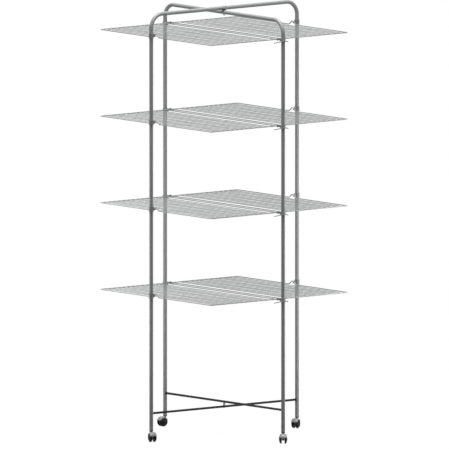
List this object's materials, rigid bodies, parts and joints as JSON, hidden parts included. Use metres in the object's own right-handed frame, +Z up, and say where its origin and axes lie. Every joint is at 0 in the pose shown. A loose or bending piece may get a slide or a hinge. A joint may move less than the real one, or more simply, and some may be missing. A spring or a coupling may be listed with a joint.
{
  "type": "tower clothes airer",
  "caption": "Folding tower clothes airer: crossed tube frames carry tiers of drop-leaf wire racks and roll on castors.",
  "frame": {"origin": "on the floor, on the upright fold line midway between the four legs", "axes": "+Z up along the fold line; frame A and the racks' hinge lines lie along X; frame B lies along Y; -Y is the front"},
  "size_m": [0.7609, 0.7447, 1.645],
  "materials": {
    "tube": "silver-grey paint on round steel tube",
    "coated_wire": "grey coated steel wire",
    "dark_rod": "dark coated steel rod",
    "zinc": "zinc-plated steel",
    "clip_plastic": "grey moulded plastic",
    "castor_hood": "glossy grey castor hood",
    "black_plastic": "black moulded plastic",
    "pale_plastic": "pale spacer sleeve"
  },
  "bodies": {
    "frame_a": {"frame_a_bow": "tube", "leg_tube_right": "tube", "leg_tube_left": "tube", "frame_a_rod": "dark_rod", "top_pivot_bolt": "zinc", "top_pivot_nut": "zinc", "top_pivot_washer": "black_plastic", "base_pivot_rivet": "zinc", "base_pivot_sleeve": "pale_plastic", "hinge_clip_1_right": "clip_plastic", "hinge_clip_1_left": "clip_plastic", "hinge_clip_2_right": "clip_plastic", "hinge_clip_2_left": "clip_plastic", "hinge_clip_3_right": "clip_plastic", "hinge_clip_3_left": "clip_plastic", "hinge_clip_4_right": "clip_plastic", "hinge_clip_4_left": "clip_plastic", "leg_socket_right": "black_plastic", "leg_socket_left": "black_plastic"},
    "frame_b": {"frame_b_bow": "tube", "leg_tube_front": "tube", "leg_tube_back": "tube", "frame_b_rod": "dark_rod", "catch_clip_1_front": "clip_plastic", "catch_clip_1_back": "clip_plastic", "catch_clip_2_front": "clip_plastic", "catch_clip_2_back": "clip_plastic", "catch_clip_3_front": "clip_plastic", "catch_clip_3_back": "clip_plastic", "catch_clip_4_front": "clip_plastic", "catch_clip_4_back": "clip_plastic", "leg_socket_front": "black_plastic", "leg_socket_back": "black_plastic"},
    "rack_1_front": {"rack_1_front": "coated_wire"},
    "rack_1_back": {"rack_1_back": "coated_wire"},
    "rack_2_front": {"rack_2_front": "coated_wire"},
    "rack_2_back": {"rack_2_back": "coated_wire"},
    "rack_3_front": {"rack_3_front": "coated_wire"},
    "rack_3_back": {"rack_3_back": "coated_wire"},
    "rack_4_front": {"rack_4_front": "coated_wire"},
    "rack_4_back": {"rack_4_back": "coated_wire"},
    "castor_right": {"castor_right_body": "castor_hood", "castor_right_axle": "zinc"},
    "castor_right_wheel_a": {"castor_right_wheel_a": "black_plastic"},
    "castor_right_wheel_b": {"castor_right_wheel_b": "black_plastic"},
    "castor_left": {"castor_left_body": "castor_hood", "castor_left_axle": "zinc"},
    "castor_left_wheel_a": {"castor_left_wheel_a": "black_plastic"},
    "castor_left_wheel_b": {"castor_left_wheel_b": "black_plastic"},
    "castor_front": {"castor_front_body": "castor_hood", "castor_front_axle": "zinc"},
    "castor_front_wheel_a": {"castor_front_wheel_a": "black_plastic"},
    "castor_front_wheel_b": {"castor_front_wheel_b": "black_plastic"},
    "castor_back": {"castor_back_body": "castor_hood", "castor_back_axle": "zinc"},
    "castor_back_wheel_a": {"castor_back_wheel_a": "black_plastic"},
    "castor_back_wheel_b": {"castor_back_wheel_b": "black_plastic"}
  },
  "joints": [
    {"name": "frame_fold", "type": "hinge", "parent": "frame_a", "child": "frame_b", "pos_m": [0, 0, 0], "axis": [0, 0, 1], "range_deg": [0, 75]},
    {"name": "rack_1_front_drop", "type": "hinge", "parent": "frame_a", "child": "rack_1_front", "pos_m": [0, -0.0142, 0.5505], "axis": [1, 0, 0], "range_deg": [0, 90]},
    {"name": "rack_1_back_drop", "type": "hinge", "parent": "frame_a", "child": "rack_1_back", "pos_m": [0, 0.0142, 0.5505], "axis": [-1, 0, 0], "range_deg": [0, 90]},
    {"name": "rack_2_front_drop", "type": "hinge", "parent": "frame_a", "child": "rack_2_front", "pos_m": [0, -0.0142, 0.882], "axis": [1, 0, 0], "range_deg": [0, 90]},
    {"name": "rack_2_back_drop", "type": "hinge", "parent": "frame_a", "child": "rack_2_back", "pos_m": [0, 0.0142, 0.882], "axis": [-1, 0, 0], "range_deg": [0, 90]},
    {"name": "rack_3_front_drop", "type": "hinge", "parent": "frame_a", "child": "rack_3_front", "pos_m": [0, -0.0142, 1.2135], "axis": [1, 0, 0], "range_deg": [0, 90]},
    {"name": "rack_3_back_drop", "type": "hinge", "parent": "frame_a", "child": "rack_3_back", "pos_m": [0, 0.0142, 1.2135], "axis": [-1, 0, 0], "range_deg": [0, 90]},
    {"name": "rack_4_front_drop", "type": "hinge", "parent": "frame_a", "child": "rack_4_front", "pos_m": [0, -0.0142, 1.545], "axis": [1, 0, 0], "range_deg": [0, 90]},
    {"name": "rack_4_back_drop", "type": "hinge", "parent": "frame_a", "child": "rack_4_back", "pos_m": [0, 0.0142, 1.545], "axis": [-1, 0, 0], "range_deg": [0, 90]},
    {"name": "castor_right_swivel", "type": "hinge", "parent": "frame_a", "child": "castor_right", "pos_m": [0.3563, 0, 0.04], "axis": [0, 0, 1], "continuous": true},
    {"name": "castor_right_wheel_a_spin", "type": "hinge", "parent": "castor_right", "child": "castor_right_wheel_a", "pos_m": [0.37192, 0.00022, 0.018], "axis": [0.6293, 0.7771, 0], "continuous": true},
    {"name": "castor_right_wheel_b_spin", "type": "hinge", "parent": "castor_right", "child": "castor_right_wheel_b", "pos_m": [0.35933, -0.01532, 0.018], "axis": [0.6293, 0.7771, 0], "continuous": true},
    {"name": "castor_left_swivel", "type": "hinge", "parent": "frame_a", "child": "castor_left", "pos_m": [-0.3563, 0, 0.04], "axis": [0, 0, 1], "continuous": true},
    {"name": "castor_left_wheel_a_spin", "type": "hinge", "parent": "castor_left", "child": "castor_left_wheel_a", "pos_m": [-0.34807, -0.01327, 0.018], "axis": [0.9903, -0.1392, 0], "continuous": true},
    {"name": "castor_left_wheel_b_spin", "type": "hinge", "parent": "castor_left", "child": "castor_left_wheel_b", "pos_m": [-0.36787, -0.01049, 0.018], "axis": [0.9903, -0.1392, 0], "continuous": true},
    {"name": "castor_front_swivel", "type": "hinge", "parent": "frame_b", "child": "castor_front", "pos_m": [0, -0.3563, 0.04], "axis": [0, 0, 1], "continuous": true},
    {"name": "castor_front_wheel_a_spin", "type": "hinge", "parent": "castor_front", "child": "castor_front_wheel_a", "pos_m": [0.0147, -0.35101, 0.018], "axis": [0.342, 0.9397, 0], "continuous": true},
    {"name": "castor_front_wheel_b_spin", "type": "hinge", "parent": "castor_front", "child": "castor_front_wheel_b", "pos_m": [0.00786, -0.3698, 0.018], "axis": [0.342, 0.9397, 0], "continuous": true},
    {"name": "castor_back_swivel", "type": "hinge", "parent": "frame_b", "child": "castor_back", "pos_m": [0, 0.3563, 0.04], "axis": [0, 0, 1], "continuous": true},
    {"name": "castor_back_wheel_a_spin", "type": "hinge", "parent": "castor_back", "child": "castor_back_wheel_a", "pos_m": [0.01446, 0.3504, 0.018], "axis": [0.8829, 0.4695, 0], "continuous": true},
    {"name": "castor_back_wheel_b_spin", "type": "hinge", "parent": "castor_back", "child": "castor_back_wheel_b", "pos_m": [-0.0032, 0.34101, 0.018], "axis": [0.8829, 0.4695, 0], "continuous": true}
  ],
  "couplings": [
    {"joint": "rack_1_front_drop", "follows": "frame_fold", "ratio": 1.2},
    {"joint": "rack_1_back_drop", "follows": "frame_fold", "ratio": 1.2},
    {"joint": "rack_2_front_drop", "follows": "frame_fold", "ratio": 1.2},
    {"joint": "rack_2_back_drop", "follows": "frame_fold", "ratio": 1.2},
    {"joint": "rack_3_front_drop", "follows": "frame_fold", "ratio": 1.2},
    {"joint": "rack_3_back_drop", "follows": "frame_fold", "ratio": 1.2},
    {"joint": "rack_4_front_drop", "follows": "frame_fold", "ratio": 1.2},
    {"joint": "rack_4_back_drop", "follows": "frame_fold", "ratio": 1.2}
  ]
}
